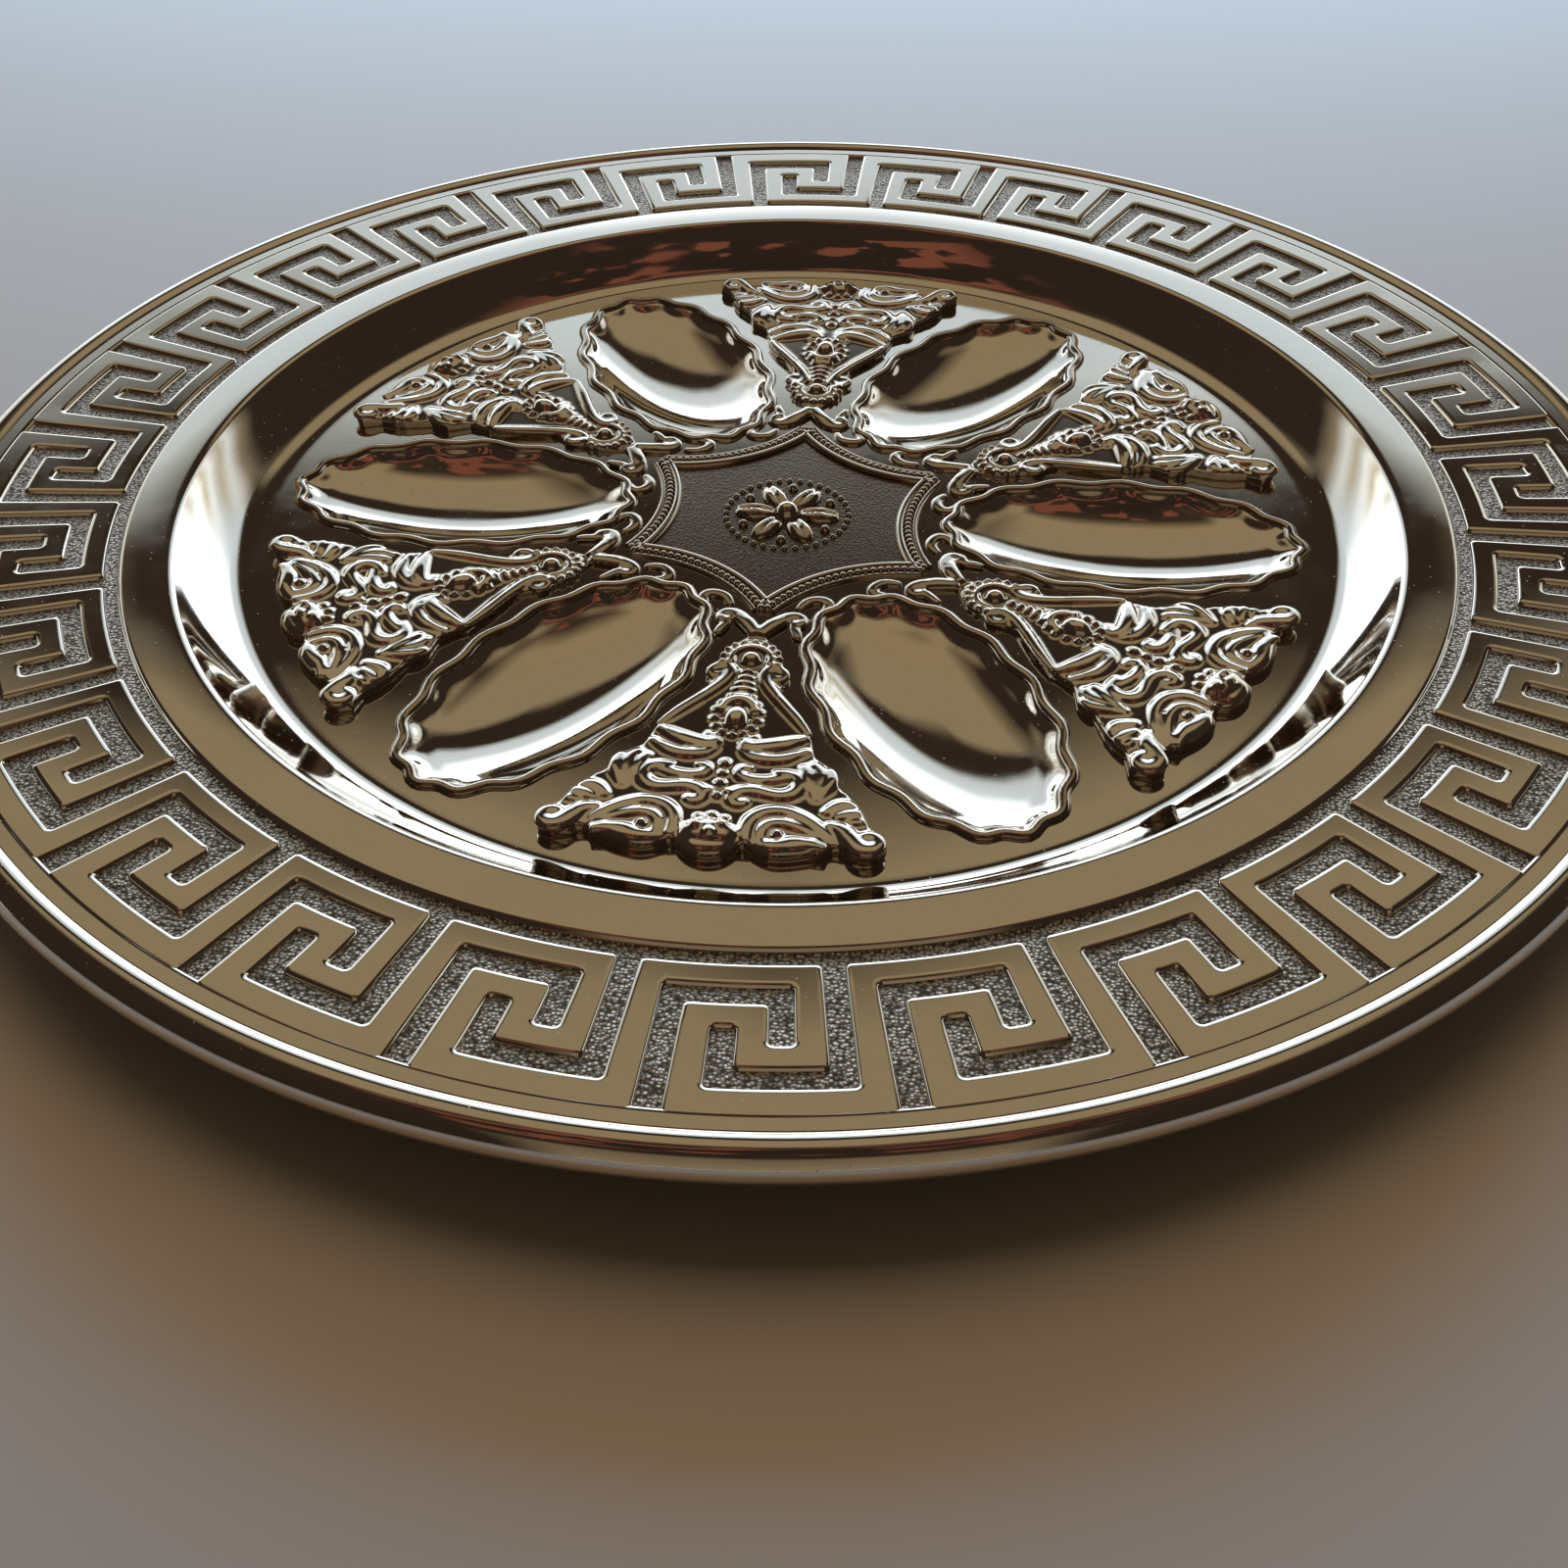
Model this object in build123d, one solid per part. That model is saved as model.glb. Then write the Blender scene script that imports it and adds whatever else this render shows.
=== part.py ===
"""Seder plate: a pressed round dish with a rolled edge, six food wells and applied ornament.

Millimetres, +Z up. The origin is on the table under the plate's centre, and +X runs along the first
well. The undersides of the six wells share the plane Z = 0, and the plate stands on them.
"""
import os
from math import atan, cos, degrees, pi, radians, sin, sqrt, tan

from build123d import *

# Sheet and edge
plate_diameter = 330.0
sheet = 1.0
roll_diameter = 7.0
roll_hook = 45.0  # degrees that the rolled edge turns back in below its widest point
roll_chords = 10  # flats that make up the roll's outside, each a narrow cone

# Rim, from the rolled edge inwards
outer_groove = 3.4
border_width = 25.4
inner_groove = 3.4
band_width = 7.9
ground_drop = 0.8  # the border's ground lies this far below the polished band

# Dish
dish_depth = 9.5
wall_run = 13.6
lip_radius = 3.0

# Meander border
key_count = 28
key_columns = 8  # steps of the grid that one key takes along the border
key_rows = 6  # steps of the grid across the border
key_phase = -0.75  # degrees from +X to the first key's leg
key_bar_base = 4.5
key_bar_top = 3.6
key_height = 1.1

# Food wells
well_count = 6
well_depth = 6.0
well_width = 35.6
well_widest = 0.5  # share of the well's length, from its inner end, at which it is widest
well_star_gap = 8.1  # from the star's waist to the well's opening
well_wall_gap = 5.1  # from the well's opening to the foot of the dish wall
well_bend = 0.70  # share of the well's size at which its side turns into its bottom
well_bend_depth = 0.58  # share of the well's depth at that turn
well_bottom = 0.30  # share of the well's size that its bottom keeps
well_rim_width = 2.2
well_rim_crown = 1.0
well_rim_height = 1.0
well_lobes = 16
well_ripple = 0.5

# Star in the middle
star_radius = 32.0
star_waist = 23.5
star_point = 50.0  # degrees between a point's side and its middle line
star_band = 3.2
star_ridge = 1.4
star_band_height = 1.0
star_height = 1.9

# Scroll panels between the wells
panel_star_gap = 0.8
panel_wall_gap = 3.0
panel_well_gap = 0.6
panel_base_width = 54.0
panel_base_height = 1.5
panel_height = 3.2
scallop_rise = 1.3
fan_radius = 4.2
cabochon_length = 9.2
cabochon_width = 6.4
shell_length = 8.4
shell_width = 13.2
volute_radius = 3.6

# Rosette in the star
rosette_radius = 11.0
rosette_base_height = 0.7
petal_count = 6
petal_width = 5.4
petal_height = 1.5
boss_radius = 3.4
boss_height = 2.2

# Radii and heights that follow from the sizes above
plate_radius = plate_diameter / 2
roll_outer = roll_diameter / 2
roll_inner = roll_outer - sheet
roll_centre = plate_radius - roll_outer
ground_edge = roll_centre - roll_outer
fret_outer = ground_edge - outer_groove
fret_inner = fret_outer - border_width
band_edge = fret_inner - inner_groove
lip_edge = band_edge - band_width
floor_radius = lip_edge - wall_run
floor_top = well_depth + sheet
band_top = floor_top + dish_depth
ground_top = band_top - ground_drop
well_inner_end = star_waist + star_band / 2 + well_star_gap
well_outer_end = floor_radius - well_wall_gap
well_centre = well_inner_end + (well_outer_end - well_inner_end) * well_widest
well_half_width = well_width / 2
well_step = 360 / well_count
panel_inner_end = star_radius + star_band / 2 + panel_star_gap
panel_outer_end = floor_radius - panel_wall_gap
panel_length = panel_outer_end - panel_inner_end


def polar(radius, angle):
    """A point on the plate's plan from a radius and an angle in degrees."""
    return (radius * cos(radians(angle)), radius * sin(radians(angle)))


def ring_of(shape, count, start=0.0):
    """Copies of a shape, turned evenly about the plate's axis."""
    return [Rot(0, 0, start + k * 360 / count) * shape for k in range(count)]


def block(face, low, high):
    """A flat face of the plan raised to a solid between two heights."""
    return Pos(0, 0, low) * extrude(face, high - low)


def dish_section():
    """The pressed sheet cut through from the axis to its rolled edge."""
    lean = 2 * degrees(atan(dish_depth / wall_run))
    wall_radius = wall_run / sin(radians(lean)) - lip_radius
    wall_middle = (floor_radius, floor_top + wall_radius)
    lip_middle = (lip_edge, band_top - lip_radius)
    roll_middle = Vector(roll_centre, ground_top)
    step_shift = sheet * tan(pi / 8)
    step_foot = band_edge + ground_drop
    roll = [roll_middle + Vector(*polar(roll_outer, 180 - (180 + roll_hook) * k / roll_chords))
            for k in range(roll_chords + 1)]
    channel = [roll_middle + Vector(*polar(roll_inner, angle)) for angle in (-roll_hook, 0, 45, 90, 135)]
    channel_end = (roll_centre - sqrt(roll_inner**2 - sheet**2), ground_top - sheet)
    edges = [
        Line((0, floor_top), (floor_radius, floor_top)),
        CenterArc(wall_middle, wall_radius, -90, lean),
        CenterArc(lip_middle, lip_radius, 90 + lean, -lean),
        Polyline((lip_edge, band_top), (band_edge, band_top), (step_foot, ground_top), *roll,
                 *channel, channel_end, (step_foot - step_shift, ground_top - sheet),
                 (band_edge - step_shift, band_top - sheet), (lip_edge, band_top - sheet)),
        CenterArc(lip_middle, lip_radius - sheet, 90, lean),
        CenterArc(wall_middle, wall_radius + sheet, lean - 90, -lean),
        Polyline((floor_radius, floor_top - sheet), (0, floor_top - sheet), (0, floor_top)),
    ]
    return make_face([piece for line in edges for piece in (Plane.XZ * line).edges()])


def well_point(angle, share=1.0, spread=0.0):
    """A point of the well's egg-shaped outline: a share of its full size, then grown by a spread."""
    reach = well_outer_end - well_centre if cos(angle) > 0 else well_centre - well_inner_end
    return (well_centre + (reach * share + spread) * cos(angle), (well_half_width * share + spread) * sin(angle))


def well_oval(height, share=1.0, spread=0.0):
    """The well's outline at a height, as two half ellipses that meet where it is widest."""
    width = well_half_width * share + spread
    outer_reach = (well_outer_end - well_centre) * share + spread
    inner_reach = (well_centre - well_inner_end) * share + spread
    middle = (well_centre, 0)
    halves = [EllipticalCenterArc(middle, outer_reach, width, -90, arc_size=180),
              EllipticalCenterArc(middle, inner_reach, width, 90, arc_size=180)]
    return Pos(0, 0, height) * make_face(halves)


def well_solid(sink, spread, top):
    """A boat-shaped bowl, from its bottom through its bend to the floor and on up to a top plane."""
    stations = [(well_depth, well_bottom), (well_depth * well_bend_depth, well_bend), (0, 1.0)]
    ovals = [well_oval(floor_top - depth - sink, share, spread) for depth, share in stations]
    return loft(ovals + [well_oval(top, 1.0, spread)], ruled=True)


def plate_body():
    """The dish with six wells pressed down out of its floor."""
    body = revolve(dish_section(), Axis.Z)
    body = body + ring_of(well_solid(sheet, sheet / 2, floor_top - sheet / 2), well_count)
    return body - ring_of(well_solid(0, 0, floor_top + sheet), well_count)


def meander_wire(bar_width, side, height):
    """One edge of the running key: its centre line set off by half a bar, all round the rim."""
    row_pitch = (border_width - key_bar_base) / key_rows
    first_row = fret_outer - key_bar_base / 2
    column_pitch = 360 / key_count / key_columns
    key_path = [(0, 0), (0, 6), (6, 6), (6, 2), (4, 2), (4, 4), (2, 4), (2, 0)]
    corners = []
    for key in range(key_count):
        for n, (column, row) in enumerate(key_path):
            last = key_path[n - 1] if n else (key_path[-1][0] - key_columns, key_path[-1][1])
            following = (key_path + [(key_columns, 0)])[n + 1]
            turns = []
            for start, end in ((last, (column, row)), ((column, row), following)):
                along = (end[0] - start[0], end[1] - start[1])
                size = abs(along[0]) + abs(along[1])
                turns.append((-along[1] / size, along[0] / size))
            shift_column = turns[0][0] + turns[1][0]
            shift_row = turns[0][1] + turns[1][1]
            radius = first_row - row * row_pitch - side * shift_row * bar_width / 2
            turn = degrees(side * shift_column * bar_width / 2 / radius)
            angle = key_phase + (key * key_columns + column) * column_pitch + turn
            corners.append((radius, angle))
    edges = []
    for n, (radius, angle) in enumerate(corners):
        next_radius, next_angle = corners[(n + 1) % len(corners)]
        if n + 1 == len(corners):
            next_angle += 360
        start = polar(radius, angle)
        end = polar(next_radius, next_angle)
        if next_angle - angle > column_pitch * key_columns / 2:
            edges.append(ThreePointArc(start, polar(radius, (angle + next_angle) / 2), end))
        else:
            edges.append(Line(start, end))
    return Pos(0, 0, height) * Wire(edges)


def meander_border():
    """The running key: one unbroken bar with sloped sides, seated on the border's ground."""
    outlines = []
    for side in (-1, 1):
        foot = meander_wire(key_bar_base, side, ground_top)
        crown = meander_wire(key_bar_top, side, ground_top + key_height)
        outlines.append(Solid.make_loft([foot, crown], ruled=True))
    outlines.sort(key=lambda solid: solid.volume)
    return outlines[1] - outlines[0]


def star_face(shift):
    """The six-pointed star of inward bowed arcs, grown outwards by a shift."""
    half_step = 180 / well_count
    reach = shift / sin(radians(star_point))
    edges = []
    for k in range(well_count):
        middle = k * well_step
        points = [polar(star_radius + reach, middle - half_step),
                  polar(star_waist + shift, middle),
                  polar(star_radius + reach, middle + half_step)]
        edges.append(ThreePointArc(*points))
    return make_face(edges)


def star_frame():
    """The star's raised border: a flat band with a narrow ridge along it."""
    band = star_face(star_band / 2) - star_face(-star_band / 2)
    ridge = star_face(star_ridge / 2) - star_face(-star_ridge / 2)
    return block(band, floor_top, floor_top + star_band_height) + block(ridge, floor_top, floor_top + star_height)


def centre_rosette():
    """A plain six-petalled boss in the middle of the star."""
    petal_length = rosette_radius - boss_radius / 2
    tips = ((boss_radius / 2, 0), (rosette_radius, 0))
    petal = make_face([ThreePointArc(tips[0], (boss_radius / 2 + petal_length / 2, side * petal_width / 2), tips[1])
                       for side in (-1, 1)])
    disc = block(Circle(rosette_radius), floor_top, floor_top + rosette_base_height)
    petals = ring_of(block(petal, floor_top, floor_top + petal_height), petal_count)
    boss = block(Circle(boss_radius), floor_top, floor_top + boss_height)
    boss = chamfer(boss.edges().sort_by(Axis.Z)[-1], (boss_height - petal_height) * 0.8)
    return disc + petals + boss


def scalloped_wire(spread, height):
    """The well's wavy edge: arcs that swell from notch to notch, set off from the well's opening."""
    stations = []
    for k in range(well_lobes * 2 + 1):
        angle = pi * k / well_lobes
        grow = spread + (well_ripple if k % 2 else 0)
        stations.append(well_point(angle, spread=grow))
    arcs = [ThreePointArc(*stations[k:k + 3]) for k in range(0, well_lobes * 2, 2)]
    return Pos(0, 0, height) * Wire(arcs)


def well_rim():
    """The wavy bead that edges a well, standing on the floor."""
    slope = (well_rim_width - well_rim_crown) / 2
    top = floor_top + well_rim_height
    outside = [scalloped_wire(well_rim_width, floor_top), scalloped_wire(well_rim_width - slope, top)]
    inside = [scalloped_wire(0, floor_top), scalloped_wire(slope, top)]
    return Solid.make_loft(outside, ruled=True) - Solid.make_loft(inside, ruled=True)


def on_panel(along, across):
    """A point of a panel: along from its tip (0) to its base (1), across in half widths of the base."""
    return Vector(panel_inner_end + along * panel_length, across * panel_base_width / 2)


def crescent(start, outer, inner, end):
    """A scroll's blade: two arcs through points of the panel that share both tips."""
    tips = (on_panel(*start), on_panel(*end))
    return make_face([ThreePointArc(tips[0], on_panel(*middle), tips[1]) for middle in (outer, inner)])


def panel_outline():
    """A wedge with bowed sides and a base of five scallops."""
    neck = [(0.0, 0.12), (0.13, 0.25), (0.30, 0.26)]
    flare = [(0.30, 0.26), (0.64, 0.60), (0.91, 1.0)]
    base = [(0.91, -1.0), (0.965, -0.70), (0.985, -0.28), (0.985, 0.28), (0.965, 0.70), (0.91, 1.0)]
    edges = [Line(on_panel(0.0, -0.12), on_panel(0.0, 0.12))]
    for side in (-1, 1):
        for stations in (neck, flare):
            edges.append(ThreePointArc(*[on_panel(along, across * side) for along, across in stations]))
    for start, end in zip(base, base[1:]):
        first = on_panel(*start)
        second = on_panel(*end)
        chord = second - first
        bulge = Vector(chord.Y, -chord.X).normalized() * scallop_rise
        edges.append(ThreePointArc(first, (first + second) / 2 + bulge, second))
    return make_face(edges)


def panel_motifs():
    """The raised work on a panel: flat shapes, each with the share of the panel's height it reaches."""
    motifs = [
        (Pos(*on_panel(0.09, 0)) * Circle(fan_radius), 0.75),
        (Pos(*on_panel(0.42, 0)) * Ellipse(cabochon_length / 2, cabochon_width / 2), 0.95),
        (Pos(*on_panel(0.90, 0)) * Ellipse(shell_length / 2, shell_width / 2), 1.0),
    ]
    for side in (-1, 1):
        blades = [
            ((0.16, 0.06), (0.33, 0.22), (0.36, 0.15), (0.51, 0.40), 0.95),
            ((0.55, 0.42), (0.61, 0.22), (0.58, 0.22), (0.55, 0.05), 0.9),
            ((0.64, 0.54), (0.73, 0.28), (0.69, 0.28), (0.66, 0.05), 0.85),
            ((0.82, 0.72), (0.83, 0.34), (0.945, 0.42), (0.93, 0.72), 1.0),
        ]
        for start, outer, inner, end, share in blades:
            points = [(along, across * side) for along, across in (start, outer, inner, end)]
            motifs.append((crescent(*points), share))
        motifs.append((Pos(*on_panel(0.90, 0.85 * side)) * Circle(volute_radius), 1.0))
    return motifs


def scroll_panel():
    """A scroll panel between two wells, trimmed to clear their rims."""
    relief = block(panel_outline(), floor_top, floor_top + panel_base_height)
    relief = relief + [block(face, floor_top, floor_top + panel_height * share)
                       for face, share in panel_motifs()]
    clear = well_rim_width + well_ripple + panel_well_gap
    cutter = block(well_oval(0, spread=clear), floor_top - sheet, floor_top + 2 * panel_height)
    return relief - [Rot(0, 0, side * well_step / 2) * cutter for side in (-1, 1)]


def write(shape, name):
    """Write one piece of the plate to its own file."""
    export_step(shape, f"parts/{name}.step")


os.makedirs("parts", exist_ok=True)
write(plate_body(), "plate_body")
write(meander_border(), "meander_border")
write(star_frame(), "star_frame")
write(centre_rosette(), "centre_rosette")
rims = ring_of(well_rim(), well_count)
panels = ring_of(scroll_panel(), well_count, well_step / 2)
for number, (rim, panel) in enumerate(zip(rims, panels), start=1):
    write(rim, f"well_rim_{number}")
    write(panel, f"scroll_panel_{number}")
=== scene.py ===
# %% [markdown]
# # A struck silver seder plate
# The plate is one thin sheet of plated metal, pressed in a die: a rolled edge, a border of Greek keys, a polished
# band, a dish with six bowls, a star in the middle and six fans of scrollwork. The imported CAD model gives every
# size and place, and this lesson models each piece again with the fine shapes that the picture shows.
# Everything is in metres, with +Z up and the plate's centre over the origin.

# %% Load the frame
import math

import bpy
from mathutils import Matrix, Vector


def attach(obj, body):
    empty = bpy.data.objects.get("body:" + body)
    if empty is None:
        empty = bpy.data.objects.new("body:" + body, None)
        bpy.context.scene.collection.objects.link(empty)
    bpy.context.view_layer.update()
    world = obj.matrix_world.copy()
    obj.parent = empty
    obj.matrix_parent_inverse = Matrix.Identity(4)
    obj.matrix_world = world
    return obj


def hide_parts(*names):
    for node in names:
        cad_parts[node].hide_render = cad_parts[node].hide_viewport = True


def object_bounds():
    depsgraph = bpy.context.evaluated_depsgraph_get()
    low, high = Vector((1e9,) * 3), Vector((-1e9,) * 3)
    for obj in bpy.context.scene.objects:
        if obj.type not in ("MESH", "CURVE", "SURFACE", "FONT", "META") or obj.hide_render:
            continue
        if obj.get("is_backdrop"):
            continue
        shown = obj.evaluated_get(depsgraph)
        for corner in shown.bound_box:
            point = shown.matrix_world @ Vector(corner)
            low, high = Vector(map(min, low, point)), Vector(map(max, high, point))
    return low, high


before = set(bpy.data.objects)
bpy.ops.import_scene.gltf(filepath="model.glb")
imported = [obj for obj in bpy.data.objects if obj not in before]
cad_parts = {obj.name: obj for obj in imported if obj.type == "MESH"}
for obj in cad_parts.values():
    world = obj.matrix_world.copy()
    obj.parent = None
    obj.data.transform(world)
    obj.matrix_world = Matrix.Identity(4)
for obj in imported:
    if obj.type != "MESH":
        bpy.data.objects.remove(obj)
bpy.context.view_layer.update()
MM = 0.001

# %% [markdown]
# ## The camera
# The picture was taken close to the front edge, looking down at about 42 degrees, and the plate lay turned by
# 8 degrees. A camera can be aimed with a constraint or by hand. Here its matrix is put together from those few
# angles, so that each of them can be read and changed.

# %% Camera
PLATE_RADIUS = 165 * MM
PLATE_TURN = math.radians(8)
LOOK_DOWN = math.radians(41.857)
CAMERA_ROLL = math.radians(-0.5364)
EYE = Vector((-0.0069, -1.768, 1.087)) * PLATE_RADIUS + Vector((0, 0, 16.8 * MM))
turn = Matrix.Rotation(PLATE_TURN, 4, "Z")
camera_data = bpy.data.cameras.new("photo_camera")
camera_data.sensor_width = 36
camera_data.lens = 39.53
camera_data.clip_start = 0.01
camera = bpy.data.objects.new("photo_camera", camera_data)
bpy.context.scene.collection.objects.link(camera)
tilt = Matrix.Rotation(math.radians(90) - LOOK_DOWN, 4, "X")
camera.matrix_world = Matrix.Translation(turn @ EYE) @ turn @ tilt @ Matrix.Rotation(CAMERA_ROLL, 4, "Z")
bpy.context.scene.camera = camera
bpy.context.scene.view_settings.view_transform = "Standard"
print("camera stands at", [round(v, 3) for v in camera.matrix_world.translation])

# %% [markdown]
# ## Colours and nodes
# Colours are written as they look on a screen, in hex, while Blender mixes light in linear values, so one function
# turns the first into the second. A second function adds a node, sets it and links it, because the materials below
# would otherwise be long lists of the same three calls.


# %% Two helpers for materials
def linear(hex_colour):
    channels = [int(hex_colour[k:k + 2], 16) / 255 for k in (1, 3, 5)]
    return (*[c / 12.92 if c <= 0.04045 else ((c + 0.055) / 1.055) ** 2.4 for c in channels], 1)


def add_node(tree, kind, inputs=None, stops=None, **settings):
    node = tree.nodes.new(kind)
    for name, value in settings.items():
        setattr(node, name, value)
    for name, value in (inputs or {}).items():
        if isinstance(value, bpy.types.NodeSocket):
            tree.links.new(value, node.inputs[name])
        else:
            node.inputs[name].default_value = value
    for k, (place, colour) in enumerate(stops or []):
        elements = node.color_ramp.elements
        element = elements[k] if k < 2 else elements.new(place)
        element.position = place
        element.color = linear(colour)
    return node


print("half grey on the screen is", round(linear("#808080")[0], 3), "in linear light")

# %% [markdown]
# ## The room in the mirror
# Polished metal has hardly any colour of its own: what is seen on it is the room. Here that room is a bright
# window low at the back, a dark gap, a warm tan ceiling, a dark zone overhead and a dim brown side behind the
# viewer. It could be built from cards, but a world shader that reads the angle over the plate, from the back
# horizon across the zenith to the front, draws the same bands with one colour ramp.

# %% World
world = bpy.data.worlds.new("window_room")
bpy.context.scene.world = world
world.use_nodes = True
room = world.node_tree
room.nodes.clear()
room_place = add_node(room, "ShaderNodeTexCoord")
room_turn = add_node(room, "ShaderNodeMapping", {0: room_place.outputs["Generated"], "Rotation": (0, 0, -PLATE_TURN)})
room_axes = add_node(room, "ShaderNodeSeparateXYZ", {0: room_turn.outputs[0]})
over = add_node(room, "ShaderNodeMath", {0: room_axes.outputs["Z"], 1: room_axes.outputs["Y"]}, operation="ARCTAN2")
RAGGED = math.radians(5)
clutter = add_node(room, "ShaderNodeTexNoise", {"Vector": room_turn.outputs[0], "Scale": 3.0, "Detail": 2.0})
shaken = add_node(room, "ShaderNodeMath", {0: clutter.outputs["Fac"], 1: RAGGED, 2: -RAGGED / 2},
                  operation="MULTIPLY_ADD")
level = add_node(room, "ShaderNodeMath", {0: over.outputs[0], 1: shaken.outputs[0]}, operation="ADD")
share = add_node(room, "ShaderNodeMath", {0: level.outputs[0], 1: math.pi}, operation="DIVIDE")
ROOM_BANDS = [(0, "#C3D0DD"), (4, "#F8FCFF"), (17, "#F2F8FD"), (21, "#DFE9F0"), (27, "#D0DBE2"), (31, "#CACFCB"),
              (38, "#8F7F63"), (72, "#937F60"), (80, "#3A2D22"), (90, "#2A211B"), (124, "#2E241D"), (132, "#6E5D47"),
              (180, "#85765F")]
bands = add_node(room, "ShaderNodeValToRGB", {0: share.outputs[0]},
                 stops=[(angle / 180, colour) for angle, colour in ROOM_BANDS])
print("room bands:", len(ROOM_BANDS))

# %% [markdown]
# Three things break those bands up: a dark gap between window and ceiling, widest straight ahead and closing towards
# the sides, small brick-red patches in the dark overhead, which show as sparks on the steepest faces, and the room's
# sides, striped low down and dark above, which show in the wall of the dish.

# %% Gap, red patches and striped sides
GAP_MIDDLE, GAP_SINKING, GAP_HALF, GAP_CLOSING, GAP_EDGE = [math.radians(a) for a in (37.0, -7.5, 7.2, -10.5, 1.8)]
aside = add_node(room, "ShaderNodeMath", {0: room_axes.outputs["X"]}, operation="ABSOLUTE")
reach = add_node(room, "ShaderNodeMath", {0: aside.outputs[0], 1: GAP_CLOSING, 2: GAP_HALF}, operation="MULTIPLY_ADD")
centre = add_node(room, "ShaderNodeMath", {0: aside.outputs[0], 1: GAP_SINKING, 2: GAP_MIDDLE},
                  operation="MULTIPLY_ADD")
away = add_node(room, "ShaderNodeMath", {0: level.outputs[0], 1: centre.outputs[0]}, operation="SUBTRACT")
away_size = add_node(room, "ShaderNodeMath", {0: away.outputs[0]}, operation="ABSOLUTE")
outside = add_node(room, "ShaderNodeMath", {0: away_size.outputs[0], 1: reach.outputs[0]}, operation="SUBTRACT")
gap = add_node(room, "ShaderNodeMapRange", {0: outside.outputs[0], 1: -GAP_EDGE, 2: GAP_EDGE, 3: 1.0, 4: 0.0})
gapped = add_node(room, "ShaderNodeMix", {0: gap.outputs[0], 6: bands.outputs[0], 7: linear("#30261E")},
                  data_type="RGBA")
RED_FROM, RED_TO = math.radians(80), math.radians(114)
RED_TONE = 0.72  # each block has a random tone from 0 to 1, and is red above this
blocks = add_node(room, "ShaderNodeTexVoronoi", {"Vector": room_turn.outputs[0], "Scale": 11.0},
                  distance="CHEBYCHEV")
block_tone = add_node(room, "ShaderNodeSeparateColor", {0: blocks.outputs["Color"]})
some = add_node(room, "ShaderNodeMath", {0: block_tone.outputs[0], 1: RED_TONE}, operation="GREATER_THAN")
above = add_node(room, "ShaderNodeMath", {0: level.outputs[0], 1: RED_FROM}, operation="GREATER_THAN")
below = add_node(room, "ShaderNodeMath", {0: level.outputs[0], 1: RED_TO}, operation="LESS_THAN")
zone = add_node(room, "ShaderNodeMath", {0: above.outputs[0], 1: below.outputs[0]}, operation="MULTIPLY")
red = add_node(room, "ShaderNodeMath", {0: some.outputs[0], 1: zone.outputs[0]}, operation="MULTIPLY")
patched = add_node(room, "ShaderNodeMix", {0: red.outputs[0], 6: gapped.outputs[2], 7: linear("#754434")},
                   data_type="RGBA")
SIDE_BANDS = [(0, "#59544C"), (5, "#B9BFC1"), (8, "#7C7D78"), (11, "#C9CFD0"), (14, "#8B8A80"), (16.5, "#E4E8E8"),
              (19, "#B0A894"), (21.5, "#EEF2F2"), (25, "#BDB39C"), (28, "#E6E9E6"), (32, "#8C7E68"), (37, "#30261E"),
              (180, "#2A211B")]
side_bands = add_node(room, "ShaderNodeValToRGB", {0: share.outputs[0]},
                      stops=[(angle / 180, colour) for angle, colour in SIDE_BANDS])
SIDE_START, SIDE_FULL = 0.37, 0.5
side = add_node(room, "ShaderNodeMapRange", {0: aside.outputs[0], 1: SIDE_START, 2: SIDE_FULL})
sided = add_node(room, "ShaderNodeMix", {0: side.outputs[0], 6: patched.outputs[2], 7: side_bands.outputs[0]},
                 data_type="RGBA")
print("bands at the room's sides:", len(SIDE_BANDS))

# %% [markdown]
# Low down, a real window is much brighter than white, so that even a thin ridge carries a full highlight, and the
# strength of the room falls off above it. Only the metal's mirror rays see this room: other light from it is a weak
# warm fill, and the camera sees a plain pale tone past the floor.

# %% Three kinds of ray
BLAZE_END, ROOM_START = math.radians(15), math.radians(23)
BLAZE, ROOM_STRENGTH, FILL_STRENGTH = 2.4, 1.1, 0.07
rays = add_node(room, "ShaderNodeLightPath")
blaze = add_node(room, "ShaderNodeMapRange", {0: level.outputs[0], 1: BLAZE_END, 2: ROOM_START, 3: BLAZE,
                                              4: ROOM_STRENGTH})
mirrored = add_node(room, "ShaderNodeBackground", {0: sided.outputs[2], 1: blaze.outputs[0]})
ambient = add_node(room, "ShaderNodeBackground", {0: linear("#E2BE95"), 1: FILL_STRENGTH})
lit = add_node(room, "ShaderNodeMixShader", {0: rays.outputs["Is Glossy Ray"], 1: ambient.outputs[0],
                                             2: mirrored.outputs[0]})
pale = add_node(room, "ShaderNodeBackground", {0: linear("#D3DCE6"), 1: 1.0})
seen = add_node(room, "ShaderNodeMixShader", {0: rays.outputs["Is Camera Ray"], 1: lit.outputs[0],
                                              2: pale.outputs[0]})
add_node(room, "ShaderNodeOutputWorld", {0: seen.outputs[0]})
print("nodes in the room:", len(room.nodes))

# %% [markdown]
# ## Light and floor
# The window lies behind the plate, so the white paper under it is brightest at the back and warm and dim in front,
# where the rim throws its shadow towards the viewer. One wide, low area lamp does that, and a weak warm one overhead
# lights the shadow but not the paper under the rim. The metal already sees the room in the world, so both lamps are
# kept out of its reflections.


# %% Window and ceiling light
def deselect():
    if bpy.context.mode != "OBJECT":
        bpy.ops.object.mode_set(mode="OBJECT")
    bpy.ops.object.select_all(action="DESELECT")


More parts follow.
